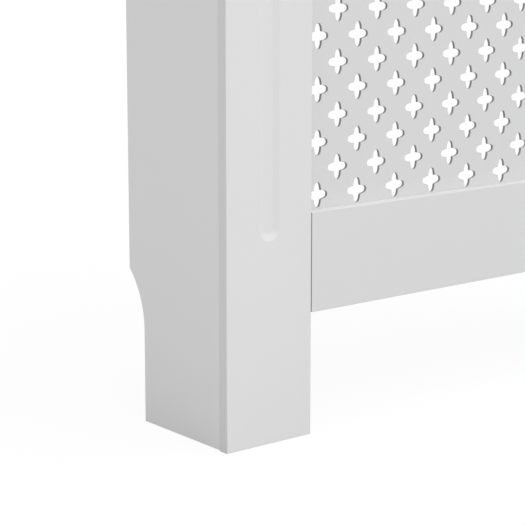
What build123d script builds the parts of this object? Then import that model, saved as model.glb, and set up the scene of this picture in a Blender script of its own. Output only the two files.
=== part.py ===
from build123d import *

import os
from math import atan, copysign, cos, sin, sqrt

# Radiator cover cabinet: painted boards round an open back and bottom, with a pierced front.
# Millimetres. X runs along the front, Y from the front to the wall, Z up from the floor.
# The origin is on the floor, midway along the top and midway between its front and rear edges.

# ---- driving sizes ----

# Overall: the top board is the widest and deepest piece
width = 780
depth = 190
height = 815
top_thickness = 15
side_overhang = 20
front_overhang = 22
top_corner_round = 5
top_edge_round = 3

# Boards of the body, all of one thickness
board = 12
arris = 0.8
side_lift = 1

# Front frame: two stiles with two rails between them
stile_width = 109
lower_rail_foot = 129
lower_rail_height = 104
upper_rail_height = 106
butt_gap = 0.8

# Flute down the middle of each stile: a flat floor between sloped walls, with round ends
flute_width = 25.5
flute_floor = 11.3
flute_depth = 2.7
flute_past_rail = 23.5

# Skirting cut-out at the foot of each side
notch_depth = 26
notch_top = 163
notch_radius = 90

# Pierced panel behind the frame: staggered rows of crosses, each made of two crossed ovals
# that are fuller at their ends than ellipses, whose power would be 2
grille_thickness = 3
grille_lap = 18
hole_pitch = 54
oval_length = 26
oval_width = 9.4
oval_power = 2.8
least_margin = 12
oval_corner_count = 16

# Softwood strips glued inside the body
strip = 15
batten_foot_gap = 20
cleat_rear_gap = 6

# Beech dowels, one at mid-height of each rail's end
dowel_radius = 3
dowel_length = 30
dowel_end_gap = 0.5

# Steel angles under the rear of the top, for two wall screws
bracket_leg = 30
bracket_width = 20
bracket_thickness = 2
bracket_bend = 1
bracket_spacing = 500
wall_hole_radius = 2.5
wall_hole_drop = 18
top_hole_radius = 2
top_hole_setback = 18

# ---- places that follow from them ----

wall_y = depth / 2
front_y = front_overhang - wall_y
frame_back_y = front_y + board
mid_board_y = front_y + board / 2
body_half = width / 2 - side_overhang
body_height = height - top_thickness
opening_half = body_half - stile_width
rail_half = opening_half - butt_gap
lower_rail_top = lower_rail_foot + lower_rail_height
upper_rail_foot = body_height - upper_rail_height
opening_height = upper_rail_foot - lower_rail_top
opening_mid = (upper_rail_foot + lower_rail_top) / 2

front_plane = Plane.XZ.offset(-front_y)
frame_back_plane = Plane.XZ.offset(-frame_back_y)
left_side_plane = Plane.YZ.offset(-body_half)
left_joint_plane = Plane.YZ.offset(-opening_half)
left_rail_end_plane = Plane.YZ.offset(-rail_half)

dowel_levels = [lower_rail_foot + lower_rail_height / 2, upper_rail_foot + upper_rail_height / 2]
dowel_hole_depth = dowel_length / 2 + dowel_end_gap
strip_half = body_half - board

os.makedirs("parts", exist_ok=True)


def finish(block, name):
    """Labels a finished piece and writes it to its own file."""
    block.part.label = name
    export_step(block.part, f"parts/{name}.step")


# ---- top board: rounded along the front and both sides, square against the wall ----

with BuildPart() as top_board:
    with BuildSketch(Plane.XY.offset(body_height)):
        Rectangle(width, depth)
    extrude(amount=top_thickness)
    fillet(top_board.edges().filter_by(Axis.Z).group_by(Axis.Y)[0], top_corner_round)
    rim = top_board.faces().sort_by(Axis.Z)[-1].edges()
    fillet([edge for edge in rim if edge.center().Y < wall_y - 1], top_edge_round)
finish(top_board, "top_board")

# ---- side panels: square board with a skirting cut-out at the rear of the foot ----

notch_rise = sqrt(notch_radius**2 - (notch_radius - notch_depth) ** 2)
notch_y = wall_y - notch_depth

with BuildPart() as left_side_panel:
    with BuildSketch(left_side_plane):
        with BuildLine():
            Polyline(
                (wall_y, notch_top),
                (wall_y, body_height),
                (frame_back_y, body_height),
                (frame_back_y, side_lift),
                (notch_y, side_lift),
                (notch_y, notch_top - notch_rise),
            )
            TangentArc((notch_y, notch_top - notch_rise), (wall_y, notch_top), tangent=(0, 1))
        make_face()
    extrude(amount=board)
finish(left_side_panel, "left_side_panel")

with BuildPart() as right_side_panel:
    mirror(left_side_panel.part, about=Plane.YZ)
finish(right_side_panel, "right_side_panel")

# ---- stiles: fluted front boards, bored on their inner edge for the rails' dowels ----

stile_mid = body_half - stile_width / 2
flute_foot = lower_rail_top - flute_past_rail
flute_head = upper_rail_foot + flute_past_rail
flute_mid = (flute_foot + flute_head) / 2
flute_length = flute_head - flute_foot

with BuildPart() as left_stile:
    with BuildSketch(front_plane):
        with Locations((-stile_mid, body_height / 2)):
            Rectangle(stile_width, body_height)
    extrude(amount=-board)
    front_edges = left_stile.edges().filter_by(Axis.Z).group_by(Axis.Y)[0]
    chamfer(front_edges, arris)
    with BuildSketch(front_plane):
        with Locations((-stile_mid, flute_mid)):
            SlotOverall(flute_length, flute_width, rotation=90)
    with BuildSketch(front_plane.offset(-flute_depth)):
        with Locations((-stile_mid, flute_mid)):
            SlotOverall(flute_length - flute_width + flute_floor, flute_floor, rotation=90)
    loft(ruled=True, mode=Mode.SUBTRACT)
    with BuildSketch(left_joint_plane):
        with Locations(*[(mid_board_y, level) for level in dowel_levels]):
            Circle(dowel_radius)
    extrude(amount=-dowel_hole_depth, mode=Mode.SUBTRACT)
finish(left_stile, "left_stile")

with BuildPart() as right_stile:
    mirror(left_stile.part, about=Plane.YZ)
finish(right_stile, "right_stile")

# ---- rails: plain boards with a dowel hole in each end ----


def rail(foot, rail_height, dowel_level):
    """One rail, made as its left half and mirrored."""
    with BuildPart() as piece:
        with BuildSketch(front_plane):
            with Locations((-rail_half / 2, foot + rail_height / 2)):
                Rectangle(rail_half, rail_height)
        extrude(amount=-board)
        end_face = piece.faces().sort_by(Axis.X)[0]
        chamfer(end_face.edges().filter_by(Axis.Z).sort_by(Axis.Y)[0], arris)
        with BuildSketch(left_rail_end_plane):
            with Locations((mid_board_y, dowel_level)):
                Circle(dowel_radius)
        extrude(amount=dowel_hole_depth - butt_gap, mode=Mode.SUBTRACT)
        mirror(about=Plane.YZ)
    return piece


lower_rail = rail(lower_rail_foot, lower_rail_height, dowel_levels[0])
finish(lower_rail, "lower_rail")

upper_rail = rail(upper_rail_foot, upper_rail_height, dowel_levels[1])
finish(upper_rail, "upper_rail")

# ---- pierced panel: every second row of crosses is shifted half a pitch ----


def cross_outline(length, breadth, corners):
    """Corners of the outline that two crossed ovals make, spaced evenly round each oval's end.
    On an oval of power p, |x / a| to the p plus |y / b| to the p is one."""
    a, b = length / 2, breadth / 2
    crossing = atan((a / b) ** (oval_power / 2))
    per_arm = corners // 4
    turns = [crossing * (2 * k / per_arm - 1) for k in range(per_arm)]
    arm = [
        (a * cos(turn) ** (2 / oval_power), copysign(b * abs(sin(turn)) ** (2 / oval_power), turn))
        for turn in turns
    ]
    return [
        (x * c - y * s, x * s + y * c)
        for c, s in ((1, 0), (0, 1), (-1, 0), (0, -1))
        for x, y in arm
    ]


def whole_pitches(span):
    """How many whole pitches fit between the outermost crosses along a span."""
    return int((span - 2 * least_margin) // hole_pitch)


columns = whole_pitches(2 * opening_half) + 1
rows = whole_pitches(opening_height) + 1

with BuildSketch() as cross:
    with BuildLine():
        Polyline(*cross_outline(oval_length, oval_width, oval_corner_count), close=True)
    make_face()

with BuildPart() as grille_panel:
    with BuildSketch(frame_back_plane):
        with Locations((0, opening_mid)):
            Rectangle(2 * (opening_half + grille_lap), opening_height + 2 * grille_lap)
            with GridLocations(hole_pitch, hole_pitch, columns, rows):
                add(cross.sketch, mode=Mode.SUBTRACT)
            with GridLocations(hole_pitch, hole_pitch, columns - 1, rows - 1):
                add(cross.sketch, mode=Mode.SUBTRACT)
    extrude(amount=-grille_thickness)
finish(grille_panel, "grille_panel")

# ---- softwood strips inside: a batten in each front corner, cleats under the top ----

with BuildPart() as left_corner_batten:
    with BuildSketch(Plane.XY.offset(batten_foot_gap)):
        with Locations((-strip_half, frame_back_y)):
            Rectangle(strip, strip, align=(Align.MIN, Align.MIN))
    extrude(amount=body_height - batten_foot_gap)
finish(left_corner_batten, "left_corner_batten")

with BuildPart() as right_corner_batten:
    mirror(left_corner_batten.part, about=Plane.YZ)
finish(right_corner_batten, "right_corner_batten")

cleat_front_y = frame_back_y + strip
cleat_rear_y = wall_y - cleat_rear_gap

with BuildPart() as left_top_cleat:
    with BuildSketch(Plane.XY.offset(body_height - strip)):
        with Locations((-strip_half, cleat_front_y)):
            Rectangle(strip, cleat_rear_y - cleat_front_y, align=(Align.MIN, Align.MIN))
    extrude(amount=strip)
finish(left_top_cleat, "left_top_cleat")

with BuildPart() as right_top_cleat:
    mirror(left_top_cleat.part, about=Plane.YZ)
finish(right_top_cleat, "right_top_cleat")

with BuildPart() as front_top_cleat:
    with BuildSketch(Plane.XY.offset(body_height - strip)):
        with Locations((0, frame_back_y)):
            Rectangle(2 * (strip_half - strip), strip, align=(Align.CENTER, Align.MIN))
    extrude(amount=strip)
finish(front_top_cleat, "front_top_cleat")

# ---- dowels across the joints between rails and stiles ----

with BuildPart() as rail_dowels:
    with BuildSketch(Plane.YZ.offset(-opening_half - dowel_length / 2)):
        with Locations(*[(mid_board_y, level) for level in dowel_levels]):
            Circle(dowel_radius)
    extrude(amount=dowel_length)
    mirror(about=Plane.YZ)
finish(rail_dowels, "rail_dowels")

# ---- wall brackets: bent steel angles, one leg under the top and one flat to the wall ----

bracket_x = bracket_spacing / 2
leg_y = wall_y - bracket_leg
leg_z = body_height - bracket_leg
inner_y = wall_y - bracket_thickness
inner_z = body_height - bracket_thickness

with BuildPart() as left_wall_bracket:
    with BuildSketch(Plane.YZ.offset(-bracket_x)):
        with BuildLine():
            FilletPolyline(
                (wall_y, leg_z),
                (wall_y, body_height),
                (leg_y, body_height),
                radius=bracket_bend + bracket_thickness,
            )
            FilletPolyline(
                (inner_y, leg_z),
                (inner_y, inner_z),
                (leg_y, inner_z),
                radius=bracket_bend,
            )
            Line((wall_y, leg_z), (inner_y, leg_z))
            Line((leg_y, body_height), (leg_y, inner_z))
        make_face()
    extrude(amount=bracket_width / 2, both=True)
    with BuildSketch(Plane.XZ.offset(-wall_y)):
        with Locations((-bracket_x, body_height - wall_hole_drop)):
            Circle(wall_hole_radius)
    extrude(amount=bracket_thickness, mode=Mode.SUBTRACT)
    with BuildSketch(Plane.XY.offset(body_height)):
        with Locations((-bracket_x, wall_y - top_hole_setback)):
            Circle(top_hole_radius)
    extrude(amount=-bracket_thickness, mode=Mode.SUBTRACT)
finish(left_wall_bracket, "left_wall_bracket")

with BuildPart() as right_wall_bracket:
    mirror(left_wall_bracket.part, about=Plane.YZ)
finish(right_wall_bracket, "right_wall_bracket")
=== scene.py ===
"""Dresses the solids of a painted radiator cover cabinet: eased boards, fluted stiles, a panel pierced
with crosses, pine strips, dowels, brackets, screws and cam fasteners, on a pale floor in soft light."""

from math import pi, radians, sin

import bmesh
import bpy
import numpy as np
from bpy.props import FloatProperty, FloatVectorProperty, IntProperty, PointerProperty
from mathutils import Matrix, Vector


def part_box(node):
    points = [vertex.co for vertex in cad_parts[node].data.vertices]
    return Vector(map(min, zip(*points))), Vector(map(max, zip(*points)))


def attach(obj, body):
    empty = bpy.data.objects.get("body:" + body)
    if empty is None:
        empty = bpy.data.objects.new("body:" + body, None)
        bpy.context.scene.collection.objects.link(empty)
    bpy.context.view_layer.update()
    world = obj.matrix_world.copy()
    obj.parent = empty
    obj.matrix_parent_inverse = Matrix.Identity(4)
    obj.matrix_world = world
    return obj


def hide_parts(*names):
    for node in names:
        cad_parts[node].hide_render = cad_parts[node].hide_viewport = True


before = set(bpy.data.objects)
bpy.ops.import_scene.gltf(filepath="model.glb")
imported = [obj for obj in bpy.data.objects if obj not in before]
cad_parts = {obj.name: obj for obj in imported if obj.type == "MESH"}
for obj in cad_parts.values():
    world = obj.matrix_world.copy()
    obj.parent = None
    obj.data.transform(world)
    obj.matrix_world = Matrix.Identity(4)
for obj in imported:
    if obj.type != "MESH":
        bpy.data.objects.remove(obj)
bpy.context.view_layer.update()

bl_info = {
    "name": "Radiator Cover Cabinet",
    "version": (1, 0, 0),
    "blender": (4, 5, 0),
    "location": "View3D > Sidebar > Cabinet",
    "description": "Builds the boards, pierced panel and fittings of a radiator cover cabinet",
    "category": "Object",
}

# Orders that turn a surface's own axes (across, up, out) into X, Y and Z.
FACING_FRONT = [0, 2, 1]
FACING_SIDE = [2, 0, 1]
FACING_UP = [0, 1, 2]

TINY = 1e-9  # a part of a direction below this counts as nothing
MEETING = 2e-6  # metres within which points are joined
SLIVER = 1e-7  # metres below which an edge is dropped
CREASE = radians(32)  # bends sharper than this stay crisp

# Width of the flat ring beside an eased edge, as a share of the edge's radius.
FLAT_RING = 0.25

# Rays of an eighth of a turn round a cross, closest together at the tips of its ovals.
EIGHTH = np.radians([0, 5, 12, 22, 34])

# A screw head. In shares of its radius: the arm and half width of its cross recess, and the rings over
# its dome. In shares of its height: how far the dome falls to its border, and the level of a ring in
# the upright edge below. The recess's floor is a smaller copy of its rim.
RECESS_ARM, RECESS_HALF_WIDTH = 0.54, 0.135
DOME_RINGS = [0.72, 0.86, 0.95, 1]
DOME_FALL, EDGE_LEVEL = 0.45, 0.42
FLOOR_OF_RIM = 0.7

PAST_ALL_BOARDS = 10.0  # metres from the middle
END_SHADE_FADE = (0.00035, 0.00005)  # metres before a rail's end where its painted shade starts and becomes full

GRAIN_STEP = 0.37  # metres that a strip's grain moves on for each unit of its name's letter codes


# ---------------------------------------------------------------- sizes and finishes


def length(name, description, default):
    """A size in metres."""
    bounds = {"min": 0, "unit": "LENGTH"}
    return FloatProperty(name=name, description=description, default=default, **bounds)


def share(name, description, default):
    """A number between nothing and one."""
    bounds = {"min": 0, "max": 1, "subtype": "FACTOR"}
    return FloatProperty(name=name, description=description, default=default, **bounds)


def paint(name, description, default):
    """A colour without alpha."""
    bounds = {"min": 0, "max": 1, "size": 3, "subtype": "COLOR"}
    return FloatVectorProperty(name=name, description=description, default=default, **bounds)


def several(name, description, default):
    """A number of like things, at least two."""
    return IntProperty(name=name, description=description, default=default, min=2)


def degrees(name, description, default):
    """An angle given in degrees."""
    return FloatProperty(
        name=name, description=description, default=radians(default), subtype="ANGLE"
    )


class CabinetBoardSizes(bpy.types.PropertyGroup):
    """Shapes of the board edges, the side cut-outs and the flutes."""

    arris: length("Arris", "Radius of the eased edges of the boards", 0.0006)
    outline_corner: length("Outline corner", "Radius of a board's own corners", 0.0009)
    top_edge_round: length("Top edge", "Radius of the top board's upper edge, wall side apart", 0.003)
    top_corner_round: length("Top corner", "Radius of the top board's two front corners", 0.005)
    notch_depth: length("Cut-out depth", "How far the skirting cut-out reaches from the wall", 0.026)
    notch_top: length("Cut-out top", "Height at which the cut-out meets the wall", 0.163)
    notch_radius: length("Cut-out radius", "Radius of the cut-out's upper curve", 0.090)
    flute_width: length("Flute width", "Width of the stile's shallow flute", 0.0255)
    flute_floor: length("Flute floor", "Width of the flute's flat floor", 0.0113)
    flute_depth: length("Flute depth", "Depth of the flute's floor", 0.0027)
    inner_blend: length("Inner blend", "Reach of the soft bend at the flute's floor", 0.0013)
    outer_blend: length("Outer blend", "Reach of the soft bend at the flute's border", 0.0006)
    flute_foot: length("Flute foot", "Height of the flute's lower end", 0.2095)
    flute_head: length("Flute head", "Height of the flute's upper end", 0.7175)


class CabinetPanelSizes(bpy.types.PropertyGroup):
    """Shapes of the pierced panel."""

    hole_pitch: length("Pitch", "Distance between crosses of one row", 0.054)
    oval_length: length("Oval length", "Length of each of a cross's two ovals", 0.026)
    oval_width: length("Oval width", "Width of each of a cross's two ovals", 0.0094)
    oval_power: FloatProperty(
        name="Oval power",
        description="Fullness of the ovals' ends; an ellipse's power is 2",
        default=2.8,
        min=1,
    )
    rim: length("Rim", "Width of the softened rim round each cross", 0.0003)
    columns: several("Columns", "Crosses in each full row", 10)
    rows: several("Rows", "Full rows of crosses", 9)


class CabinetFittingSizes(bpy.types.PropertyGroup):
    """Sizes of the small fittings."""

    screw_radius: length("Panel screw", "Radius of the panel screws' heads", 0.003)
    screw_height: length("Panel screw height", "Height of those heads", 0.0019)
    screws_across: several("Screws across", "Screws along the panel's top and foot", 6)
    screws_up: several("Screws up", "Screws along the panel's sides, corners included", 5)
    cleat_screw_radius: length("Cleat screw", "Radius of the cleat and bracket screws' heads", 0.0038)
    cleat_screw_height: length("Cleat screw height", "Height of those heads", 0.0024)
    side_cleat_screws: several("Side cleat screws", "Screws in each side cleat", 2)
    front_cleat_screws: several("Front cleat screws", "Screws in the front cleat", 3)
    bracket_thickness: length("Bracket", "Thickness of the wall brackets", 0.002)
    bracket_hole_setback: length(
        "Bracket hole", "Distance of a bracket's upper hole from the wall", 0.018
    )
    cam_radius: length("Cam", "Radius of the cam fasteners' faces", 0.0065)
    cam_height: length("Cam height", "How far a cam stands out of the rail", 0.0008)
    cam_from_end: length("Cam place", "Distance of a cam from the rail's end", 0.0236)
    cam_below_dowel: length("Cam drop", "Distance of a cam from the dowel's level", 0.016)


class CabinetFinish(bpy.types.PropertyGroup):
    """Colours and sheen of the finishes."""

    white: paint("White paint", "Satin paint of the boards", (0.80, 0.80, 0.80))
    # Painted shade: the rails and the panel carry the stiles' own paint at these lower tones.
    rail_tone: share("Rail tone", "Brightness of the rails against the stiles", 0.949)
    panel_shade_tone: share("Panel tone", "Brightness of the panel against the stiles", 0.926)
    edge_tone: share("Edge tone", "Brightness of the thin edges of the stiles and sides", 0.908)
    # Painted highlight: the rails' edges keep nearly full white, so that their top edge shows as a
    # bright line.
    rail_edge_tone: share("Rail edge tone", "Brightness of the thin edges of the rails", 0.99)
    # Painted shade: the crosses' walls and the rails' ends at the stiles are darkened to this share.
    cut_shade_tone: share("Cut tone", "Brightness of the crosses' walls and the rails' ends", 0.45)
    sheen: share("Paint roughness", "Roughness of the satin paint", 0.42)
    pine_light: paint("Pine, light", "Early wood of the strips", (0.79, 0.63, 0.42))
    pine_dark: paint("Pine, dark", "Late wood and knots of the strips", (0.58, 0.38, 0.20))
    beech_light: paint("Beech, light", "Body colour of the dowels", (0.67, 0.45, 0.28))
    beech_dark: paint("Beech, dark", "Flecks of the dowels", (0.42, 0.24, 0.13))
    zinc: paint("Zinc", "Plated steel of the brackets and screws", (0.62, 0.64, 0.66))


class CabinetStudio(bpy.types.PropertyGroup):
    """Camera, floor and light."""

    camera_place: FloatVectorProperty(
        name="Camera place",
        description="Where the camera stands",
        default=(-1.3887, -1.3985, 0.5400),
        subtype="TRANSLATION",
        unit="LENGTH",
    )
    camera_yaw: degrees("Camera yaw", "Turn of the view from straight ahead to the right", 38.7535)
    camera_pitch: degrees("Camera pitch", "Tilt of the view above the horizon", -10.3575)
    camera_sensor: FloatProperty(
        name="Sensor", description="Width of the sensor", default=36, unit="CAMERA"
    )
    camera_lens: FloatProperty(
        name="Lens", description="Focal length on that sensor", default=119.58, unit="CAMERA"
    )
    camera_near: length("Camera near", "Nearest distance that the camera shows", 0.05)
    camera_far: length("Camera far", "Farthest distance that the camera shows", 100)
    camera_shift: FloatProperty(
        name="Camera shift", description="Upward shift of the frame", default=-0.075
    )
    sky_level: share("Sky level", "Even light from all round", 0.64)
    lamp_strength: FloatProperty(
        name="Lamp", description="Strength of the wide soft lamp", default=1.42, min=0
    )
    lamp_from: FloatVectorProperty(
        name="Lamp direction",
        description="Direction from the cabinet towards the lamp",
        default=(0.16, -0.50, 0.85),
        subtype="DIRECTION",
    )
    lamp_spread: degrees("Lamp spread", "Angle that the lamp fills, which softens shadows", 70)
    floor_reach: length("Floor reach", "Distance of the floor's border from the middle", 25)
    floor_tone: share("Floor", "Brightness of the floor as it lights the object", 0.74)
    # Painted shade: the floor's colour beside the cabinet is darkened to this share, out to the reaches
    # below.
    floor_near_shade: share("Floor near by", "Part of that brightness that is left beside the cabinet", 0.79)
    near_reach: length("Near reach", "How far that duller floor reaches evenly", 0.4)
    far_reach: length("Far reach", "Where the floor has its full brightness again", 0.8)
    near_squeeze: FloatProperty(
        name="Near squeeze",
        description="How much shorter both reaches are to the sides",
        default=1.25,
        min=1,
    )
    floor_shadow: share("Shadow", "How much of its shadow the floor shows", 0.09)


# ---------------------------------------------------------------- surfaces


def inset_steps(outline):
    """For each point of a closed outline drawn anticlockwise, the step that carries it one unit inward
    of both its sides: the sum of the two inward normals, divided by one plus their dot product."""
    side = np.roll(outline, -1, 0) - outline
    side /= np.linalg.norm(side, axis=1, keepdims=True)
    after = np.stack([-side[:, 1], side[:, 0]], 1)
    before = np.roll(after, 1, 0)
    return (before + after) / (1 + (before * after).sum(1, keepdims=True))


def eased_corners(corners, radius, steps=3):
    """Arcs for the corners of an anticlockwise polygon, one row of points each. An arc starts r tan(t /
    2) before its corner, where t is the turn there, and its points are centre - r n cos a + r d sin a,
    with d the arriving direction, n its left normal and a running from 0 to t."""
    corners = np.asarray(corners, float)
    leaving = np.roll(corners, -1, 0) - corners
    leaving /= np.linalg.norm(leaving, axis=1, keepdims=True)
    arriving = np.roll(leaving, 1, 0)
    normal = np.stack([-arriving[:, 1], arriving[:, 0]], 1)
    turn = np.arctan2((normal * leaving).sum(1), (arriving * leaving).sum(1))
    start = corners - arriving * (radius * np.tan(turn / 2))[:, None]
    centre = start + radius * normal
    angle = (turn[:, None] * np.linspace(0, 1, steps + 1))[..., None]
    return (
        centre[:, None]
        - radius * normal[:, None] * np.cos(angle)
        + radius * arriving[:, None] * np.sin(angle)
    )


def rectangle(low, high, radius):
    """The anticlockwise outline of a rectangle with eased corners."""
    (left, foot), (right, head) = low, high
    corners = [(left, foot), (right, foot), (right, head), (left, head)]
    return eased_corners(corners, radius).reshape(-1, 2)


def edge_rings(outline, low, high, low_round, high_round, steps=4):
    """Rings round a board from its low face to its high face, and how much of a thin edge each is. A
    ring is the outline drawn in by d at height w. Round an eased edge of radius r, an angle a runs from
    0 to 90 degrees with d = r (1 - sin a) and w = r (1 - cos a) from the face, and its share of edge is
    sin a. Beside each eased edge lies a narrow flat ring, so that the wide faces keep a flat shade."""
    angle = np.linspace(0, pi / 2, steps + 1)
    inward, climb = 1 - np.sin(angle), 1 - np.cos(angle)
    hold = FLAT_RING * min(low_round, high_round)
    low_in, high_in = low_round * inward, (high_round * inward)[::-1]
    drawn_in = np.concatenate([[low_round + hold], low_in, [0, 0], high_in, [high_round + hold]])
    low_up, high_up = low + low_round * climb, (high - high_round * climb)[::-1]
    middle = [low + low_round + hold, high - high_round - hold]
    height = np.concatenate([[low], low_up, middle, high_up, [high]])
    rise = np.sin(angle)
    share_of_edge = np.concatenate([[0], rise, [1, 1], rise[::-1], [0]])
    rings = np.empty((len(height), len(outline), 3))
    rings[..., :2] = outline + drawn_in[:, None, None] * inset_steps(outline)
    rings[..., 2] = height[:, None]
    return rings, share_of_edge


def ring_faces(rings, around):
    """Quads between each ring and the next: points j and j + 1 of ring k join those of ring k + 1."""
    ring, point = np.meshgrid(np.arange(rings - 1), np.arange(around), indexing="ij")
    here, there = ring * around + point, ring * around + (point + 1) % around
    return np.stack([here, there, there + around, here + around], -1).reshape(-1, 4)


def closed_rings(rings, share_of_edge, first_cap=True):
    """Points, faces and edge shares of a solid made of rings, with a flat cap on the last ring and,
    where asked, on the first. A quad's share is the mean of its two rings' shares."""
    count, around = rings.shape[:2]
    faces = ring_faces(count, around).tolist()
    marks = np.repeat((share_of_edge[1:] + share_of_edge[:-1]) / 2, around)
    caps = [list(range((count - 1) * around, count * around))]
    if first_cap:
        caps.append(list(range(around)))
    return rings.reshape(-1, 3), faces + caps, np.append(marks, [0] * len(caps))


def board(outline, low, high, low_round, high_round, order):
    """A board of any outline with eased edges, its axes put in the given order."""
    rings, edge = edge_rings(outline, low, high, low_round, high_round)
    points, faces, marks = closed_rings(rings, edge)
    return points[:, order], faces, marks


def node_box(name):
    """Lowest and highest corner of one of the cabinet's solids as arrays."""
    low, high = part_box(name)
    return np.array(low), np.array(high)


def plain_board(node, thin_axis, sizes):
    """A rectangular board that fills a solid's box and is thinnest along the given axis."""
    low, high = node_box(node)
    order = {0: FACING_SIDE, 1: FACING_FRONT, 2: FACING_UP}[thin_axis]
    wide = [axis for axis in range(3) if axis != thin_axis]
    outline = rectangle(low[wide], high[wide], sizes.outline_corner)
    return board(
        outline, low[thin_axis], high[thin_axis], sizes.arris, sizes.arris, order
    )


def reach_to_box(origin, direction, low, high):
    """How far a ray runs from inside a rectangle to its border: the least of the distances to the
    border lines ahead of it, each the gap along one axis over the direction's part along that axis."""
    with np.errstate(divide="ignore"):
        gaps = np.where(direction > 0, high - origin, origin - low) / np.abs(direction)
    return gaps.min(-1)


def fluted_stile(node, sizes):
    """A stile with a shallow flute. Rays leave the flute's middle line: half a turn round its lower
    end, up one side, half a turn round its upper end and down the other side. Across the flute the
    depth is d out to the floor's half width f, falls in a straight slope to nothing at the half width
    h, and is blended at both bends: near a bend at b, where the slope turns by k, it gains k (c - |s -
    b|)^2 / 4c over a reach c either side. Each ray then runs on over the flat face to the board's
    border and round its eased edges."""
    rays_of_half_turn, levels_of_flute, inner_steps, outer_steps = 17, 14, 7, 5
    low, high = node_box(node)
    border_low, border_high, front, back = low[[0, 2]], high[[0, 2]], low[1], high[1]
    middle = (border_low[0] + border_high[0]) / 2
    half, depth = sizes.flute_width / 2, sizes.flute_depth
    lower, upper = sizes.flute_foot + half, sizes.flute_head - half
    left, right = border_low[0] - middle, border_high[0] - middle
    down, up = border_low[1] - lower, border_high[1] - upper
    to_foot_corners = np.arctan2(down, [left, right])
    to_head_corners = np.arctan2(up, [right, left])
    half_turn = np.linspace(0, pi, rays_of_half_turn)
    foot_turn = np.sort(np.append(half_turn - pi, to_foot_corners))
    head_turn = np.sort(np.append(half_turn, to_head_corners))
    levels = np.linspace(lower, upper, levels_of_flute)[1:-1]
    climbing = np.stack([np.full_like(levels, middle), levels], 1)
    foot = np.tile([middle, lower], (len(foot_turn), 1))
    head = np.tile([middle, upper], (len(head_turn), 1))
    origin = np.concatenate([foot, climbing, head, climbing[::-1]])
    angle = np.concatenate([foot_turn, 0 * levels, head_turn, 0 * levels + pi])
    direction = np.stack([np.cos(angle), np.sin(angle)], 1)
    direction[np.abs(direction) < TINY] = 0
    reach = reach_to_box(origin, direction, border_low, border_high)
    outline = origin + reach[:, None] * direction

    floor = sizes.flute_floor / 2
    slope = depth / (half - floor)
    inner = floor + sizes.inner_blend * np.linspace(-1, 1, inner_steps)
    outer = half + sizes.outer_blend * np.linspace(-1, 1, outer_steps)
    distance = np.concatenate([[0, floor / 2], inner, outer])
    sunk = depth - slope * np.clip(distance - floor, 0, half - floor)
    for bend, blend, change in (
        (floor, sizes.inner_blend, -slope),
        (half, sizes.outer_blend, slope),
    ):
        near = np.clip(blend - np.abs(distance - bend), 0, None)
        sunk += change * near**2 / (4 * blend)
    flute = np.empty((len(distance), len(origin), 3))
    flute[..., :2] = origin + distance[:, None, None] * direction
    flute[..., 2] = (front + sunk)[:, None]

    rings, edge = edge_rings(outline, front, back, sizes.arris, sizes.arris)
    rings = np.concatenate([flute, rings])
    edge = np.concatenate([np.zeros(len(flute)), edge])
    points, faces, marks = closed_rings(rings, edge, first_cap=False)
    return points[:, FACING_FRONT], faces, marks


def notched_side(node, sizes):
    """A side panel with the skirting cut-out at the rear of its foot. The cut-out's rear line rises
    straight to where it touches the curve, which runs as an arc of radius R about a centre R in front
    of that line to the wall, R sin a above the centre where a is the arc's angle and R (1 - cos a) the
    depth that it gives back."""
    curve_points = 25
    low, high = node_box(node)
    front, wall, foot, head = low[1], high[1], low[2], high[2]
    radius, depth = sizes.notch_radius, sizes.notch_depth
    sweep = np.arccos(1 - depth / radius)
    centre = np.array([wall - depth + radius, sizes.notch_top - radius * sin(sweep)])
    angle = np.linspace(pi, pi - sweep, curve_points)
    curve = centre + radius * np.stack([np.cos(angle), np.sin(angle)], 1)
    corners = [
        (front, foot),
        (wall - depth, foot),
        tuple(curve[0]),
        tuple(curve[-1]),
        (wall, head),
        (front, head),
    ]
    front_foot, rear_foot, _, _, rear_top, front_top = eased_corners(
        corners, sizes.outline_corner
    )
    outline = np.concatenate([front_foot, rear_foot, curve, rear_top, front_top])
    return board(outline, low[0], high[0], sizes.arris, sizes.arris, FACING_SIDE)


def rounded_top(node, sizes):
    """The top board. Its outline runs past the wall by the upper edge's radius, and every point is then
    brought back to the wall's plane, so that the rounding ends square against the wall."""
    spare = 0.001
    low, high = node_box(node)
    past = high[1] + sizes.top_edge_round + spare
    corners = [(low[0], low[1]), (high[0], low[1]), (high[0], past), (low[0], past)]
    eased = eased_corners(corners, sizes.top_corner_round, steps=6)
    outline = np.concatenate([eased[0], eased[1], corners[2:]])
    points, faces, marks = board(
        outline, low[2], high[2], sizes.arris, sizes.top_edge_round, FACING_UP
    )
    points[:, 1] = np.minimum(points[:, 1], high[1])
    return points, faces, marks * 0


def crossed_ovals(angle, sizes, wider=0.0):
    """Distance from a cross's middle to its outline. An oval of power p, half length a and half width b
    is the line on which |x / a|^p + |z / b|^p is one, so at angle t it lies (|cos t / a|^p + |sin t /
    b|^p)^(-1 / p) away. The outline is the farther of two such ovals laid at a right angle."""
    a, b = sizes.oval_length / 2 + wider, sizes.oval_width / 2 + wider
    along, athwart, power = np.abs(np.cos(angle)), np.abs(np.sin(angle)), sizes.oval_power
    lying = ((along / a) ** power + (athwart / b) ** power) ** (-1 / power)
    upright = ((athwart / a) ** power + (along / b) ** power) ** (-1 / power)
    return np.maximum(lying, upright)


def cross_centres(middle, sizes):
    """Centres of the staggered crosses: the full rows and, half a pitch over and up, the rows
    between."""

    def grid(columns, rows):
        x = (np.arange(columns) - (columns - 1) / 2) * sizes.hole_pitch
        z = (np.arange(rows) - (rows - 1) / 2) * sizes.hole_pitch
        return np.stack(np.meshgrid(x, z), -1).reshape(-1, 2)

    full = grid(sizes.columns, sizes.rows)
    between = grid(sizes.columns - 1, sizes.rows - 1)
    return middle + np.concatenate([full, between])


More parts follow.
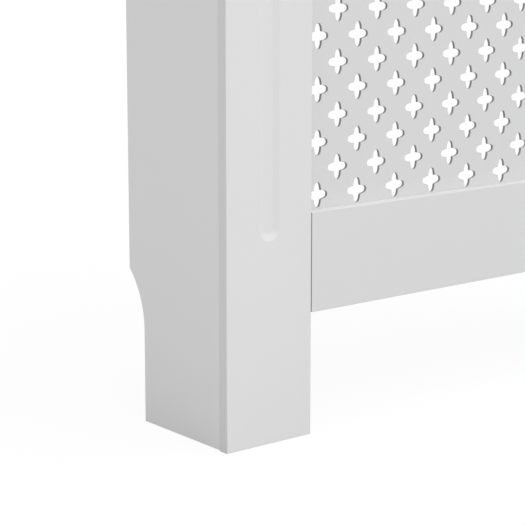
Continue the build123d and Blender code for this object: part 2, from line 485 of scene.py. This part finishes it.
def pierced_panel(node, sizes):
    """The panel with its crosses. Round each cross lies a cell: a diamond that reaches half a pitch
    every way, squared out to the panel's border where no neighbour stands. Rays at fixed angles run
    from the cross's middle to its outline and on to the cell's border, at half a pitch / (|cos t| +
    |sin t|) for a diamond and at the nearer border line for a squared quarter. The angles mirror about
    45 degrees, so that neighbours share the points of their border, and in a squared quarter the
    nearest ray turns to the cell's corner. A profile runs along them from the cell's front border over
    the softened rim and through the hole to the back border."""
    low, high = node_box(node)
    border_low, border_high = low[[0, 2]], high[[0, 2]]
    centres = cross_centres((border_low + border_high) / 2, sizes)
    half_pitch = sizes.hole_pitch / 2

    quarter = np.concatenate([EIGHTH, [pi / 4], (pi / 2 - EIGHTH[1:])[::-1]])
    steps = len(quarter)
    angle = (quarter + np.arange(4)[:, None] * pi / 2).reshape(1, -1)
    angle = np.repeat(angle, len(centres), 0)

    # How far each cell reaches left, right, down and up, and which of these run to the panel's border,
    # which is where the gap is too narrow to hold a neighbour.
    gap_low, gap_high = centres - border_low, border_high - centres
    narrow = 1.5 * half_pitch
    to_border_low, to_border_high = gap_low < narrow, gap_high < narrow
    reach_low = np.where(to_border_low, gap_low, half_pitch)
    reach_high = np.where(to_border_high, gap_high, half_pitch)
    for number, (right, up) in enumerate([(1, 1), (0, 1), (0, 0), (1, 0)]):
        reach_x = (reach_high if right else reach_low)[:, 0]
        reach_z = (reach_high if up else reach_low)[:, 1]
        squared = (to_border_high if right else to_border_low)[:, 0]
        squared = squared | (to_border_high if up else to_border_low)[:, 1]
        corner = np.arctan2(reach_z * (2 * up - 1), reach_x * (2 * right - 1))
        corner = np.mod(corner, 2 * pi)
        own = np.arange(number * steps + 1, (number + 1) * steps)
        nearest = own[np.abs(angle[:, own] - corner[:, None]).argmin(1)]
        angle[squared, nearest[squared]] = corner[squared]

    ray = np.stack([np.cos(angle), np.sin(angle)], -1)
    ray[np.abs(ray) < TINY] = 0
    diamond = half_pitch / np.abs(ray).sum(-1)
    boxed = reach_to_box(0, ray, -reach_low[:, None], reach_high[:, None])
    toward_border = np.where(
        ray > 0, to_border_high[:, None], np.where(ray < 0, to_border_low[:, None], False)
    ).any(-1)
    on_axis = (ray == 0).any(-1)
    cell = np.where(toward_border | on_axis, boxed, diamond)
    hole, rim = crossed_ovals(angle, sizes), crossed_ovals(angle, sizes, sizes.rim)

    front, back = low[1], high[1]
    reach = np.stack([cell, rim, hole, hole, cell])
    level = np.array([front, front, front + sizes.rim, back, back])
    points = np.empty((*reach.shape, 3))
    points[..., :2] = centres[:, None] + reach[..., None] * ray
    points[..., 2] = level[:, None, None]
    points = points.transpose(1, 0, 2, 3)

    rings, around = points.shape[1:3]
    faces = ring_faces(rings, around)
    # How much painted shade darkens the front face, the rim, the hole's wall and the rear face.
    share_of_cut_shade = [0, 0.5, 1, 0]  # front face, rim, hole and rear face
    marks = np.tile(np.repeat(share_of_cut_shade, around), len(centres))
    faces = faces + (np.arange(len(centres)) * rings * around)[:, None, None]
    faces = faces.reshape(-1, 4)

    # The panel's four outer edges join the two borders where two neighbours both lie on one line.
    border = points[:, 0, :, :2]
    lines = np.concatenate(
        [np.isclose(border, border_low), np.isclose(border, border_high)], -1
    )
    outer = (lines & np.roll(lines, -1, 1)).any(-1)
    cells, rays = np.nonzero(outer)
    here = cells * rings * around + rays
    there = cells * rings * around + (rays + 1) % around
    last = (rings - 1) * around
    edges = np.stack([here, there, there + last, here + last], -1)
    return (
        points.reshape(-1, 3)[:, FACING_FRONT],
        np.concatenate([faces, edges]).tolist(),
        np.append(marks, np.zeros(len(edges))),
    )


def recessed_heads(places, order, outward, radius, height, sunk=0.58):
    """Round heads with a cross recess, one at each place. Round the middle, the recess's outline at
    angle t is the farther of two bars, each min(L / |cos t|, w / |sin t|) away for half length L and
    half width w, the second turned by 90 degrees. Rings run from the recess's floor, sunk by a share of
    the height, to its rim and over a dome whose height falls with the square of the distance, to a
    short upright edge and a flat base."""
    arm, half_width = RECESS_ARM * radius, RECESS_HALF_WIDTH * radius
    tip = np.arctan2(half_width, arm)
    quarter = np.array([0, tip / 2, tip, pi / 6, pi / 4])
    quarter = np.concatenate([quarter, (pi / 2 - quarter[1:-1])[::-1]])
    angle = (quarter + np.arange(4)[:, None] * pi / 2).ravel()
    along, athwart = np.abs(np.cos(angle)), np.abs(np.sin(angle))
    with np.errstate(divide="ignore"):
        lying = np.minimum(arm / along, half_width / athwart)
        upright = np.minimum(arm / athwart, half_width / along)
    recess = np.maximum(lying, upright)
    around = np.ones_like(angle)

    circles = np.outer(DOME_RINGS, radius * around)
    over = np.vstack([recess, circles])
    dome = height * (1 - DOME_FALL * (over / radius) ** 2)
    floor, edge = (1 - sunk) * height, EDGE_LEVEL * height
    last, middle = circles[-1:], 0 * around
    reach = np.vstack([middle, FLOOR_OF_RIM * recess, recess, over, last, last, middle])
    level = np.vstack([[floor * around] * 3, dome, [edge * around], [middle] * 2])
    one = np.stack([reach * np.cos(angle), reach * np.sin(angle), level * outward], -1)
    faces = ring_faces(*reach.shape) + (np.arange(len(places)) * reach.size)[:, None, None]
    points = np.asarray(places)[:, None] + one.reshape(-1, 3)[:, order]
    faces = faces.reshape(-1, 4)
    return points.reshape(-1, 3), faces.tolist(), np.zeros(len(faces))


# ---------------------------------------------------------------- shading


class Value:
    """A socket of a node tree. An operator on it, or between it and a number or another socket, adds a
    Math node."""

    def __init__(self, shader, socket):
        self.shader, self.socket = shader, socket

    def _math(self, operation, *values):
        settings = {"operation": operation}
        return self.shader.node("ShaderNodeMath", settings, dict(enumerate(values)))

    def __add__(self, other):
        return self._math("ADD", self, other)

    def __sub__(self, other):
        return self._math("SUBTRACT", self, other)

    def __rsub__(self, other):
        return self._math("SUBTRACT", other, self)

    def __mul__(self, other):
        return self._math("MULTIPLY", self, other)

    def __truediv__(self, other):
        return self._math("DIVIDE", self, other)

    def __pow__(self, other):
        return self._math("POWER", self, other)

    def __abs__(self):
        return self._math("ABSOLUTE", self)

    def fraction(self):
        """What is left above the whole number."""
        return self._math("FRACT", self)

    __radd__ = __add__
    __rmul__ = __mul__


class Shader:
    """The node tree of a material or world, wired by plain calls."""

    def __init__(self, owner):
        owner.use_nodes = True
        self.tree = owner.node_tree
        self.tree.nodes.clear()

    def node(self, kind, settings=None, sockets=None, out=0):
        """Adds a node of a type, gives it its settings, then the value or link of each socket, and
        hands back the output with the given number or name."""
        node = self.tree.nodes.new(kind)
        for name, setting in (settings or {}).items():
            setattr(node, name, setting)
        for name, given in (sockets or {}).items():
            if isinstance(given, Value):
                self.tree.links.new(given.socket, node.inputs[name])
            else:
                node.inputs[name].default_value = given
        return Value(self, node.outputs[out]) if node.outputs else node

    def mix(self, factor, first, second):
        """Colour between two colours, which are sockets 6 and 7 and output 2 of a Mix node."""
        sockets = {0: factor, 6: first, 7: second}
        return self.node("ShaderNodeMix", {"data_type": "RGBA"}, sockets, 2)

    def place(self):
        """The point's own place in the cabinet."""
        return self.node("ShaderNodeTexCoord", out="Object")

    def mark(self, name, out="Fac"):
        """A number or vector kept on the mesh."""
        return self.node("ShaderNodeAttribute", {"attribute_name": name}, out=out)

    def part(self, vector, axis):
        """One part of a vector."""
        return self.node("ShaderNodeSeparateXYZ", None, {0: vector}, axis)

    def stretch(self, vector, scale):
        """The place scaled along each axis."""
        sockets = {"Vector": vector, "Scale": scale}
        return self.node("ShaderNodeMapping", None, sockets)

    def noise(self, vector, scale=1, detail=2.0, roughness=0.5):
        """Smooth noise around one half."""
        sockets = {"Vector": vector, "Scale": scale, "Detail": detail, "Roughness": roughness}
        return self.node("ShaderNodeTexNoise", None, sockets)

    def clamp(self, value, low, high):
        """The value spread from between low and high to between nothing and one, and held there."""
        sockets = {"Value": value, "From Min": low, "From Max": high}
        return self.node("ShaderNodeMapRange", None, sockets)

    def vector_length(self, vector):
        """How long a vector is."""
        settings = {"operation": "LENGTH"}
        return self.node("ShaderNodeVectorMath", settings, {0: vector}, "Value")

    def bump(self, height, distance):
        """A normal that follows a height, whose full step is the given distance."""
        sockets = {"Strength": 1.0, "Distance": distance, "Height": height}
        return self.node("ShaderNodeBump", None, sockets)

    def surface(self, **sockets):
        """Ends a material with a Principled shader."""
        named = {name.replace("_", " "): value for name, value in sockets.items()}
        shader = self.node("ShaderNodeBsdfPrincipled", None, named)
        self.node("ShaderNodeOutputMaterial", None, {"Surface": shader})


def grey(tone):
    """A colour of even parts."""
    return (tone, tone, tone, 1)


def colour(parts, tone=1.0):
    """A colour property with a tone applied, as a node takes it."""
    return (*[part * tone for part in parts], 1)


def new_material(name):
    """An empty material and the shader that fills it."""
    made = bpy.data.materials.get(name) or bpy.data.materials.new(name)
    return made, Shader(made)


def satin_paint(name, finish, tone, edge_tone, shaded_beyond=PAST_ALL_BOARDS):
    """Sprayed satin paint: nearly even in colour, a little dull where a board's cut edge drinks it,
    with a fine orange peel and a slow waver in its sheen. Painted shade darkens the crosses' walls and
    the board ends that lie farther to either side than the given distance, at their joints."""
    sheen_waver, dull_edge, peel_share = 0.05, 0.12, 0.35

    made, s = new_material(name)
    place = s.place()
    cloud = s.noise(place, scale=5, detail=3)
    peel = s.noise(place, scale=700)
    sweep = s.noise(place, scale=45)
    fibre = s.noise(place, scale=720, detail=3)

    def coat(tone, waver, lowest):
        """White of a tone that the waver dims to its lowest share."""
        return s.mix(waver, colour(finish.white, tone * lowest), colour(finish.white, tone))

    edge = s.mark("edge")
    # Painted shade on the rails' ends, in the gaps where they meet the stiles.
    aside = abs(s.part(place, "X"))
    fade_from, fade_to = (shaded_beyond - before for before in END_SHADE_FADE)
    shaded_board_end = edge * s.clamp(aside, fade_from, fade_to)
    # On the rails and the panel the tone is lowered as painted shade.
    wide_coat = coat(tone, cloud, lowest=0.993)
    # On the rails this edge tone is kept light, a painted highlight on their top edge.
    edge_coat = coat(edge_tone, fibre, lowest=0.985)
    # Painted shade for the crosses' walls and the rails' ends.
    shaded_cut_coat = coat(tone * finish.cut_shade_tone, fibre, lowest=0.8)
    base = s.mix(edge, wide_coat, edge_coat)
    s.surface(
        Base_Color=s.mix(s.mark("cut") + shaded_board_end, base, shaded_cut_coat),
        Roughness=finish.sheen + sheen_waver * (sweep - 0.5) + dull_edge * edge,
        Normal=s.bump(peel_share * peel + sweep, distance=0.00006),
        Specular_IOR_Level=0.35,
    )
    return made


def stile_paint(finish):
    """The finish of the top, the sides and the stiles."""
    return satin_paint("Satin white", finish, 1.0, finish.edge_tone)


def rail_paint(finish):
    """The finish of the rails: their tone lowered as painted shade, their edges kept light as a painted
    highlight, and painted shade on their ends in the joints with the stiles.
    """
    rail_half = node_box("lower_rail")[1][0]
    return satin_paint(
        "Satin white, rails", finish, finish.rail_tone, finish.rail_edge_tone, rail_half
    )


def panel_paint(finish):
    """The finish of the pierced panel, its tone lowered as painted shade."""
    tone = finish.panel_shade_tone
    return satin_paint("Satin white, panel", finish, tone, finish.rail_edge_tone)


def sawn_pine(finish):
    """Sawn pine. Growth rings are bands of the distance from a pith line that runs beside the strip,
    bent by noise drawn out along the grain; late wood darkens towards the end of each band, a few knots
    sit in the grain, and fine fibres roughen the surface."""
    pith_aside, pith_below, ring_width = 0.018, 0.031, 0.0026
    bend_aside, bend_below = 0.010, 0.008
    bends, knots, fibres = (1.6, 14, 14), (5.0, 22, 22), (45, 1500, 1500)  # to the metre
    late_share, fibre_share, knot_share = 0.55, 0.22, 0.7
    smoothest, fibre_roughness, late_hollow = 0.62, 0.14, 0.4

    made, s = new_material("Sawn pine")
    grain = s.mark("grain", "Vector")
    bend = s.noise(s.stretch(grain, bends)) - 0.5
    aside = s.part(grain, "Y") + pith_aside + bend_aside * bend
    below = s.part(grain, "Z") + pith_below + bend_below * bend
    ring = (aside * aside + below * below) ** 0.5
    late = s.clamp((ring / ring_width).fraction(), low=0.45, high=0.97) ** 2.0
    spots = {"Vector": s.stretch(grain, knots), "Scale": 1.0}
    knot = s.node("ShaderNodeTexVoronoi", None, spots, "Distance")
    knot = 1 - s.clamp(knot, low=0.05, high=0.16)
    fibre = s.noise(s.stretch(grain, fibres), detail=3, roughness=0.6)
    dark = finish.pine_dark
    wood = s.mix(late * late_share, colour(finish.pine_light), colour(dark))
    wood = s.mix(fibre_share * fibre, wood, colour(dark, tone=0.8))
    wood = s.mix(knot * knot_share, wood, colour(dark, tone=0.55))
    s.surface(
        Base_Color=wood,
        Roughness=smoothest + fibre_roughness * fibre,
        Normal=s.bump(fibre - late_hollow * late, distance=0.00018),
        Specular_IOR_Level=0.3,
    )
    return made


def turned_beech(finish):
    """Beech dowel: short dark flecks and pores drawn out along the dowel, which lies along X."""
    flecks, tints = (260, 2600, 2600), (12, 160, 160)  # to the metre
    fleck_share, smoothest, fleck_roughness = 0.6, 0.5, 0.15

    made, s = new_material("Turned beech")
    place = s.place()
    fleck = s.clamp(s.noise(s.stretch(place, flecks)), low=0.56, high=0.68)
    tint = s.noise(s.stretch(place, tints))
    light = finish.beech_light
    wood = s.mix(tint, colour(light, tone=0.92), colour(light, tone=1.05))
    wood = s.mix(fleck_share * fleck, wood, colour(finish.beech_dark))
    s.surface(
        Base_Color=wood,
        Roughness=smoothest + fleck_roughness * fleck,
        Normal=s.bump(1 - fleck, distance=0.0001),
    )
    return made


def plated_steel(name, finish, tone, roughness):
    """Bright zinc on steel: fine grain from the plating, slow clouds in its sheen and faint rolling
    lines."""
    rolling = (1800, 60, 60)  # lines to the metre
    dullest, polish, cloud_roughness = 0.88, 0.06, 0.14

    made, s = new_material(name)
    place = s.place()
    cloud = s.noise(place, scale=60, detail=3)
    grain = s.noise(place, scale=2200)
    lines = s.noise(s.stretch(place, rolling))
    dull, bright = colour(finish.zinc, tone * dullest), colour(finish.zinc, tone)
    s.surface(
        Base_Color=s.mix(cloud, dull, bright),
        Metallic=1.0,
        Roughness=roughness - polish + cloud_roughness * cloud,
        Normal=s.bump(0.5 * grain + 0.5 * lines, distance=0.00004),
    )
    return made


# ---------------------------------------------------------------- pieces


def add_piece(name, shape, material, node=None, mark="edge", grain_along=None):
    """Puts a surface into the scene as a named piece that rides on the cabinet: its points that meet
    are joined, its faces turned outward, its flat faces kept flat, its finish given and its CAD node
    hidden."""
    points, faces, marks = shape
    if not len(points) or not np.isfinite(points).all():
        raise RuntimeError(f"{name} has no sound surface")
    mesh = bpy.data.meshes.new(name)
    mesh.from_pydata(points.tolist(), [], faces)
    mesh.attributes.new(mark, "FLOAT", "FACE").data.foreach_set(
        "value", marks.astype(np.float32)
    )
    shell = bmesh.new()
    shell.from_mesh(mesh)
    bmesh.ops.remove_doubles(shell, verts=shell.verts, dist=MEETING)
    bmesh.ops.dissolve_degenerate(shell, edges=shell.edges, dist=SLIVER)
    bmesh.ops.recalc_face_normals(shell, faces=shell.faces)
    shell.to_mesh(mesh)
    shell.free()
    mesh.shade_smooth()
    mesh.set_sharp_from_angle(angle=CREASE)
    if grain_along is not None:
        place = np.empty(len(mesh.vertices) * 3)
        mesh.vertices.foreach_get("co", place)
        place = np.roll(place.reshape(-1, 3), -grain_along, 1)
        place -= (place.min(0) + place.max(0)) / 2 * [0, 1, 1]
        place[:, 0] += sum(map(ord, name)) * GRAIN_STEP
        grain = mesh.attributes.new("grain", "FLOAT_VECTOR", "POINT")
        grain.data.foreach_set("vector", place.astype(np.float32).ravel())
    mesh.materials.append(material)
    piece = bpy.data.objects.new(name, mesh)
    bpy.context.scene.collection.objects.link(piece)
    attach(piece, "root")
    if node:
        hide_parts(node)
    return piece


def dress_node(name, material):
    """Gives a solid that shows as it is its finish."""
    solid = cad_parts.get(name)
    if solid is None:
        raise RuntimeError(f"the cabinet has no solid named {name}")
    solid.data.materials.clear()
    solid.data.materials.append(material)


class CABINET_OT_top(bpy.types.Operator):
    """Build the top board with its rounded upper edge"""

    bl_idname = "cabinet.top"
    bl_label = "Top board"

    def execute(self, context):
        scene = context.scene
        material = stile_paint(scene.cabinet_finish)
        shape = rounded_top("top_board", scene.cabinet_boards)
        add_piece("painted_top", shape, material, "top_board")
        return {"FINISHED"}


class CABINET_OT_sides(bpy.types.Operator):
    """Build the two side panels with their skirting cut-outs"""

    bl_idname = "cabinet.sides"
    bl_label = "Side panels"

    def execute(self, context):
        scene = context.scene
        material = stile_paint(scene.cabinet_finish)
        for hand in ("left", "right"):
            node = f"{hand}_side_panel"
            shape = notched_side(node, scene.cabinet_boards)
            add_piece(f"{hand}_side", shape, material, node)
        return {"FINISHED"}


class CABINET_OT_stiles(bpy.types.Operator):
    """Build the two fluted stiles"""

    bl_idname = "cabinet.stiles"
    bl_label = "Stiles"

    def execute(self, context):
        scene = context.scene
        material = stile_paint(scene.cabinet_finish)
        for hand in ("left", "right"):
            node = f"{hand}_stile"
            shape = fluted_stile(node, scene.cabinet_boards)
            add_piece(f"{hand}_fluted_stile", shape, material, node)
        return {"FINISHED"}


class CABINET_OT_rails(bpy.types.Operator):
    """Build the upper and lower rail"""

    bl_idname = "cabinet.rails"
    bl_label = "Rails"

    def execute(self, context):
        scene = context.scene
        material = rail_paint(scene.cabinet_finish)
        for level in ("upper", "lower"):
            node = f"{level}_rail"
            shape = plain_board(node, 1, scene.cabinet_boards)
            add_piece(f"{level}_cross_rail", shape, material, node)
        return {"FINISHED"}


class CABINET_OT_panel(bpy.types.Operator):
    """Build the panel pierced with crosses"""

    bl_idname = "cabinet.panel"
    bl_label = "Pierced panel"

    def execute(self, context):
        scene = context.scene
        material = panel_paint(scene.cabinet_finish)
        shape = pierced_panel("grille_panel", scene.cabinet_panel)
        # The panel's rim and walls are marked for their painted shade.
        add_piece(
            "pierced_panel", shape, material, "grille_panel", mark="cut"
        )
        return {"FINISHED"}


class CABINET_OT_strips(bpy.types.Operator):
    """Build the pine battens in the corners and the cleats under the top"""

    bl_idname = "cabinet.strips"
    bl_label = "Pine strips"

    def execute(self, context):
        scene = context.scene
        material = sawn_pine(scene.cabinet_finish)
        for node, along in {
            "left_corner_batten": 2,
            "right_corner_batten": 2,
            "left_top_cleat": 1,
            "right_top_cleat": 1,
            "front_top_cleat": 0,
        }.items():
            thin = 1 if along != 1 else 0
            shape = plain_board(node, thin, scene.cabinet_boards)
            name = node.replace("_top_", "_pine_").replace("_corner_", "_pine_")
            add_piece(name, shape, material, node, grain_along=along)
        return {"FINISHED"}


class CABINET_OT_hidden_fixings(bpy.types.Operator):
    """Finish the beech dowels and the two wall brackets"""

    bl_idname = "cabinet.hidden_fixings"
    bl_label = "Dowels and brackets"

    def execute(self, context):
        scene = context.scene
        finish = scene.cabinet_finish
        dress_node("rail_dowels", turned_beech(finish))
        steel = plated_steel("Plated steel", finish, tone=1.0, roughness=0.34)
        for hand in ("left", "right"):
            dress_node(f"{hand}_wall_bracket", steel)
        return {"FINISHED"}


def shared_out(low, high, number):
    """The middles of as many equal lengths between low and high."""
    return np.linspace(low, high, 2 * number + 1)[1::2]


class CABINET_OT_screws(bpy.types.Operator):
    """Build the screws of the pierced panel, the cleats and the brackets"""

    bl_idname = "cabinet.screws"
    bl_label = "Screws"

    def execute(self, context):
        scene = context.scene
        sizes = scene.cabinet_fittings
        finish = scene.cabinet_finish
        steel = plated_steel("Plated screws", finish, tone=0.95, roughness=0.28)
        self.panel_screws(sizes, steel)
        self.cleat_screws(sizes, steel)
        self.bracket_screws(sizes, steel)
        return {"FINISHED"}

    def panel_screws(self, sizes, steel):
        """Screws along the middle of the panel's lap: in its four corners and evenly between them."""
        low, high = node_box("grille_panel")
        opening = node_box("upper_rail")[0][2], node_box("lower_rail")[1][2]
        side = (high[0] + node_box("right_stile")[0][0]) / 2
        top, foot = (high[2] + opening[0]) / 2, (low[2] + opening[1]) / 2
        along = np.linspace(-side, side, sizes.screws_across)
        up = np.linspace(foot, top, sizes.screws_up)
        rows = [(x, high[1], z) for x in along for z in (foot, top)]
        columns = [(x, high[1], z) for x in (-side, side) for z in up[1:-1]]
        places = rows + columns
        shape = recessed_heads(
            places, FACING_FRONT, 1, sizes.screw_radius, sizes.screw_height
        )
        add_piece("panel_screws", shape, steel)

    def cleat_screws(self, sizes, steel):
        """Screws up through the cleats into the top."""
        places = []
        for node in ("left_top_cleat", "right_top_cleat"):
            low, high = node_box(node)
            middle = (low[0] + high[0]) / 2
            along = shared_out(low[1], high[1], sizes.side_cleat_screws)
            places += [(middle, y, low[2]) for y in along]
        low, high = node_box("front_top_cleat")
        middle = (low[1] + high[1]) / 2
        along = shared_out(low[0], high[0], sizes.front_cleat_screws)
        places += [(x, middle, low[2]) for x in along]
        self.upward("cleat_screws", places, sizes, steel)

    def bracket_screws(self, sizes, steel):
        """Screws up through the brackets' holes into the top."""
        places = []
        for hand in ("left", "right"):
            low, high = node_box(f"{hand}_wall_bracket")
            x, y = (low[0] + high[0]) / 2, high[1] - sizes.bracket_hole_setback
            places.append((x, y, high[2] - sizes.bracket_thickness))
        self.upward("bracket_screws", places, sizes, steel)

    def upward(self, name, places, sizes, steel):
        """Screws whose heads face down."""
        shape = recessed_heads(
            places, FACING_UP, -1, sizes.cleat_screw_radius, sizes.cleat_screw_height
        )
        add_piece(name, shape, steel)


class CABINET_OT_cams(bpy.types.Operator):
    """Build the cam fasteners in the rears of the rails"""

    bl_idname = "cabinet.cams"
    bl_label = "Cam fasteners"

    def execute(self, context):
        scene = context.scene
        sizes = scene.cabinet_fittings
        finish = scene.cabinet_finish
        steel = plated_steel("Cast zinc", finish, tone=0.8, roughness=0.45)
        dowels_low, dowels_high = node_box("rail_dowels")
        rail_high = node_box("lower_rail")[1]
        dowel_radius = (dowels_high[1] - dowels_low[1]) / 2
        x = rail_high[0] - sizes.cam_from_end
        lower = dowels_low[2] + dowel_radius - sizes.cam_below_dowel
        upper = dowels_high[2] - dowel_radius + sizes.cam_below_dowel
        places = [(side, rail_high[1], z) for side in (-x, x) for z in (lower, upper)]
        shape = recessed_heads(
            places, FACING_FRONT, 1, sizes.cam_radius, sizes.cam_height, sunk=0.87
        )
        add_piece("cam_fasteners", shape, steel)
        return {"FINISHED"}


# ---------------------------------------------------------------- stage


def pale_floor(studio):
    """shadow. Near the cabinet its colour is painted darker, a painted shade that weakens the light it
    throws back on the cabinet's foot, where the cabinet stands in the way of the room."""
    made, s = new_material("Pale floor")
    looked_at = seen(s)
    # The floor's colour is painted darker beside the cabinet: a painted shade that dims its bounce
    # light.
    squeezed = s.stretch(s.place(), (studio.near_squeeze, 1, 1))
    away = s.clamp(s.vector_length(squeezed), studio.near_reach, studio.far_reach)
    tone = studio.floor_tone
    lit = s.mix(away, grey(tone * studio.floor_near_shade), grey(tone))
    matt = s.node("ShaderNodeBsdfDiffuse", None, {"Color": s.mix(looked_at, lit, grey(1.0))})
    white = s.node("ShaderNodeEmission", None, {"Color": grey(1), "Strength": 1.0})
    flat = looked_at * (1 - studio.floor_shadow)
    both = s.node("ShaderNodeMixShader", None, {0: flat, 1: matt, 2: white})
    s.node("ShaderNodeOutputMaterial", None, {"Surface": both})
    return made


def seen(s):
    """One for a ray from the camera or one that a glossy or clear surface sends on, else nothing."""
    path = s.node("ShaderNodeLightPath").socket.node
    rays = [
        Value(s, path.outputs[name])
        for name in ("Is Camera Ray", "Is Glossy Ray", "Is Transmission Ray")
    ]
    return s.clamp(rays[0] + rays[1] + rays[2], 0, 1)


class CABINET_OT_stage(bpy.types.Operator):
    """Set up the floor, the soft light and the camera"""

    bl_idname = "cabinet.stage"
    bl_label = "Stage"

    def execute(self, context):
        scene = context.scene
        studio = scene.cabinet_studio
        self.floor(scene, studio)
        self.light(scene, studio)
        self.camera(scene, studio)
        scene.view_settings.view_transform = "Standard"
        return {"FINISHED"}

    def floor(self, scene, studio):
        """A flat square grid on the ground."""
        cells = 10
        side = np.linspace(-studio.floor_reach, studio.floor_reach, cells + 1)
        x, y = np.meshgrid(side, side)
        points = np.stack([x, y, 0 * x], -1).reshape(-1, 3)
        row, column = np.meshgrid(np.arange(cells), np.arange(cells), indexing="ij")
        here = row * (cells + 1) + column
        above = here + cells + 1
        faces = np.stack([here, here + 1, above + 1, above], -1).reshape(-1, 4)
        mesh = bpy.data.meshes.new("floor")
        mesh.from_pydata(points.tolist(), [], faces.tolist())
        mesh.materials.append(pale_floor(studio))
        floor = bpy.data.objects.new("floor", mesh)
        scene.collection.objects.link(floor)

    def light(self, scene, studio):
        """Even light from all round, white where it is looked at, and one wide soft lamp."""
        world = bpy.data.worlds.new("Studio")
        s = Shader(world)
        level = studio.sky_level + (1 - studio.sky_level) * seen(s)
        sky = s.node("ShaderNodeBackground", None, {"Color": grey(1), "Strength": level})
        s.node("ShaderNodeOutputWorld", None, {"Surface": sky})
        scene.world = world
        lamp = bpy.data.lights.new("Wide lamp", "SUN")
        lamp.energy = studio.lamp_strength
        lamp.angle = studio.lamp_spread
        holder = bpy.data.objects.new("Wide lamp", lamp)
        toward = Vector(studio.lamp_from)
        holder.rotation_euler = toward.to_track_quat("Z", "Y").to_euler()
        scene.collection.objects.link(holder)

    def camera(self, scene, studio):
        """The photograph's point of view."""
        data = bpy.data.cameras.new("Camera")
        data.sensor_width = studio.camera_sensor
        data.lens = studio.camera_lens
        data.shift_y = studio.camera_shift
        data.clip_start, data.clip_end = studio.camera_near, studio.camera_far
        camera = bpy.data.objects.new("Camera", data)
        camera.location = studio.camera_place
        camera.rotation_euler = (pi / 2 + studio.camera_pitch, 0, -studio.camera_yaw)
        scene.collection.objects.link(camera)
        scene.camera = camera


# ---------------------------------------------------------------- add-on


STEPS = (
    CABINET_OT_top,
    CABINET_OT_sides,
    CABINET_OT_stiles,
    CABINET_OT_rails,
    CABINET_OT_panel,
    CABINET_OT_strips,
    CABINET_OT_hidden_fixings,
    CABINET_OT_screws,
    CABINET_OT_cams,
    CABINET_OT_stage,
)
GROUPS = {
    "cabinet_boards": CabinetBoardSizes,
    "cabinet_panel": CabinetPanelSizes,
    "cabinet_fittings": CabinetFittingSizes,
    "cabinet_finish": CabinetFinish,
    "cabinet_studio": CabinetStudio,
}


class CABINET_PT_sidebar(bpy.types.Panel):
    """Lists the cabinet's values and building steps"""

    bl_label = "Radiator Cover Cabinet"
    bl_idname = "CABINET_PT_sidebar"
    bl_space_type = "VIEW_3D"
    bl_region_type = "UI"
    bl_category = "Cabinet"

    def draw(self, context):
        steps = self.layout.column(align=True)
        for step in STEPS:
            steps.operator(step.bl_idname)
        for group, kind in GROUPS.items():
            values = self.layout.box().column()
            values.label(text=kind.__doc__.rstrip("."))
            for name in kind.__annotations__:
                values.prop(getattr(context.scene, group), name)


def register():
    """Makes the classes known and gives each scene its groups of values."""
    for kind in (*GROUPS.values(), *STEPS, CABINET_PT_sidebar):
        bpy.utils.register_class(kind)
    for name, kind in GROUPS.items():
        setattr(bpy.types.Scene, name, PointerProperty(type=kind))


def unregister():
    """Takes back what register does."""
    for name in GROUPS:
        delattr(bpy.types.Scene, name)
    for kind in (CABINET_PT_sidebar, *reversed(STEPS), *reversed(GROUPS.values())):
        bpy.utils.unregister_class(kind)


def main():
    """Registers the add-on and builds every piece in order."""
    register()
    for step in STEPS:
        module, name = step.bl_idname.split(".")
        getattr(getattr(bpy.ops, module), name)()


if __name__ == "__main__":
    main()
